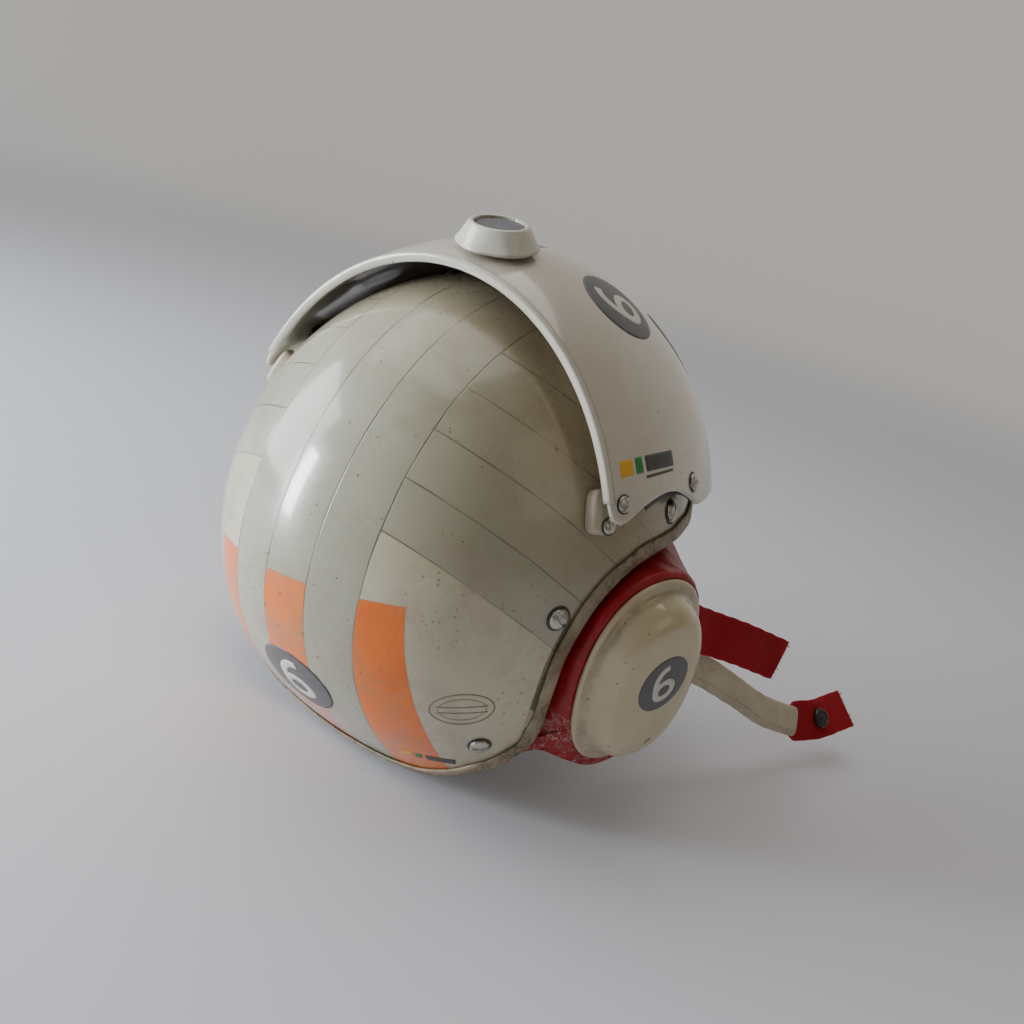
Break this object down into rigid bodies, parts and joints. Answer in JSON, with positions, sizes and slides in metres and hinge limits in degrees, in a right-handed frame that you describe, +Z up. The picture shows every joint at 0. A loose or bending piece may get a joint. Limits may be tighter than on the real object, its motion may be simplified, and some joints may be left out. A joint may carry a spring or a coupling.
{
  "type": "aircrew helmet",
  "caption": "Hard-shell crew helmet with raised visor under a housing, lock knob, padded side flaps carrying ear cups, and chin strap ends; panels of reflective tape.",
  "frame": {"origin": "middle of the head cavity, at the centre of the shell's ellipsoid", "axes": "+Z up towards the crown, -Y towards the face, -X to the wearer's right"},
  "size_m": [0.4056, 0.3482, 0.2854],
  "materials": {
    "arm_plate": "satin",
    "bracket_plastic": "satin",
    "cup_gloss": "gloss",
    "earphone_black": "matte",
    "flap_vinyl": "gloss",
    "guide_plastic": "matte",
    "housing_gloss": "gloss",
    "inset_grey": "matte",
    "knob_plastic": "gloss",
    "liner_foam": "matte",
    "pad_leather": "satin",
    "rim_bead": "satin",
    "ring_black": "matte",
    "screw_steel": "satin",
    "seal_vinyl": "satin",
    "shell_paint": "satin",
    "smoked_lens": "gloss",
    "snap_black": "gloss",
    "strap_leather": "matte",
    "stud_steel": "satin",
    "trim_vinyl": "satin",
    "web_red": "matte"
  },
  "bodies": {
    "helmet": {"bracket_left": "bracket_plastic", "bracket_right": "bracket_plastic", "bracket_screw_left": "screw_steel", "bracket_screw_right": "screw_steel", "brow_pad": "pad_leather", "crown_pad": "pad_leather", "ear_flap_left": "flap_vinyl", "ear_flap_right": "flap_vinyl", "ear_snap_left": "screw_steel", "ear_snap_right": "screw_steel", "edge_trim": "trim_vinyl", "foam_liner": "liner_foam", "housing_front_screw_left": "screw_steel", "housing_front_screw_right": "screw_steel", "housing_rear_screw_left": "screw_steel", "housing_rear_screw_right": "screw_steel", "housing_rim_trim": "rim_bead", "nape_pad": "pad_leather", "nape_screw_left": "screw_steel", "nape_screw_right": "screw_steel", "outer_shell": "shell_paint", "rear_pad": "pad_leather", "side_guide_left": "guide_plastic", "side_guide_right": "guide_plastic", "temple_pad_left": "pad_leather", "temple_pad_right": "pad_leather", "temple_screw_left": "screw_steel", "temple_screw_right": "screw_steel", "visor_housing": "housing_gloss"},
    "visor": {"visor_lens": "smoked_lens", "slide_arm": "arm_plate", "knob_stud": "stud_steel"},
    "knob": {"lock_knob": "knob_plastic", "knob_inset": "inset_grey"},
    "cup_right": {"ear_cup_shell_right": "cup_gloss", "ear_back_ring_right": "ring_black", "ear_seal_right": "seal_vinyl", "earphone_right": "earphone_black"},
    "chin_strap_right": {"chin_sleeve_right": "strap_leather", "chin_web_right": "web_red", "chin_snap_right": "snap_black"},
    "tie_strap_right": {"side_strap_right": "web_red"},
    "cup_left": {"ear_cup_shell_left": "cup_gloss", "ear_back_ring_left": "ring_black", "ear_seal_left": "seal_vinyl", "earphone_left": "earphone_black"},
    "chin_strap_left": {"chin_sleeve_left": "strap_leather", "chin_web_left": "web_red", "chin_snap_left": "snap_black"},
    "tie_strap_left": {"side_strap_left": "web_red"}
  },
  "joints": [
    {"name": "visor_slide", "type": "hinge", "parent": "helmet", "child": "visor", "pos_m": [0, 0, 0], "axis": [1, 0, 0], "range_deg": [0, 50]},
    {"name": "knob_turn", "type": "hinge", "parent": "visor", "child": "knob", "pos_m": [0, 0.03084, 0.15159], "axis": [0, 0.1994, 0.9799], "range_deg": [-90, 0]},
    {"name": "cup_swing_right", "type": "hinge", "parent": "helmet", "child": "cup_right", "pos_m": [-0.10625, 0.05625, -0.032], "axis": [0.066, -0.022, -0.9976], "range_deg": [0, 14], "deforming": ["ear_flap_right"]},
    {"name": "chin_strap_swing_right", "type": "hinge", "parent": "cup_right", "child": "chin_strap_right", "pos_m": [-0.1235, -0.038, -0.0375], "axis": [0.3491, -0.399, 0.8479], "range_deg": [-5, 40]},
    {"name": "tie_strap_swing_right", "type": "hinge", "parent": "cup_right", "child": "tie_strap_right", "pos_m": [-0.129, -0.0335, -0.0115], "axis": [-0.0498, -0.3982, 0.9159], "range_deg": [-10, 35]},
    {"name": "cup_swing_left", "type": "hinge", "parent": "helmet", "child": "cup_left", "pos_m": [0.10625, 0.05625, -0.032], "axis": [0.066, 0.022, 0.9976], "range_deg": [0, 14], "deforming": ["ear_flap_left"]},
    {"name": "chin_strap_swing_left", "type": "hinge", "parent": "cup_left", "child": "chin_strap_left", "pos_m": [0.1235, -0.038, -0.0375], "axis": [0.3491, 0.399, -0.8479], "range_deg": [-5, 40]},
    {"name": "tie_strap_swing_left", "type": "hinge", "parent": "cup_left", "child": "tie_strap_left", "pos_m": [0.129, -0.0335, -0.0115], "axis": [-0.0498, 0.3982, -0.9159], "range_deg": [-10, 35]}
  ]
}
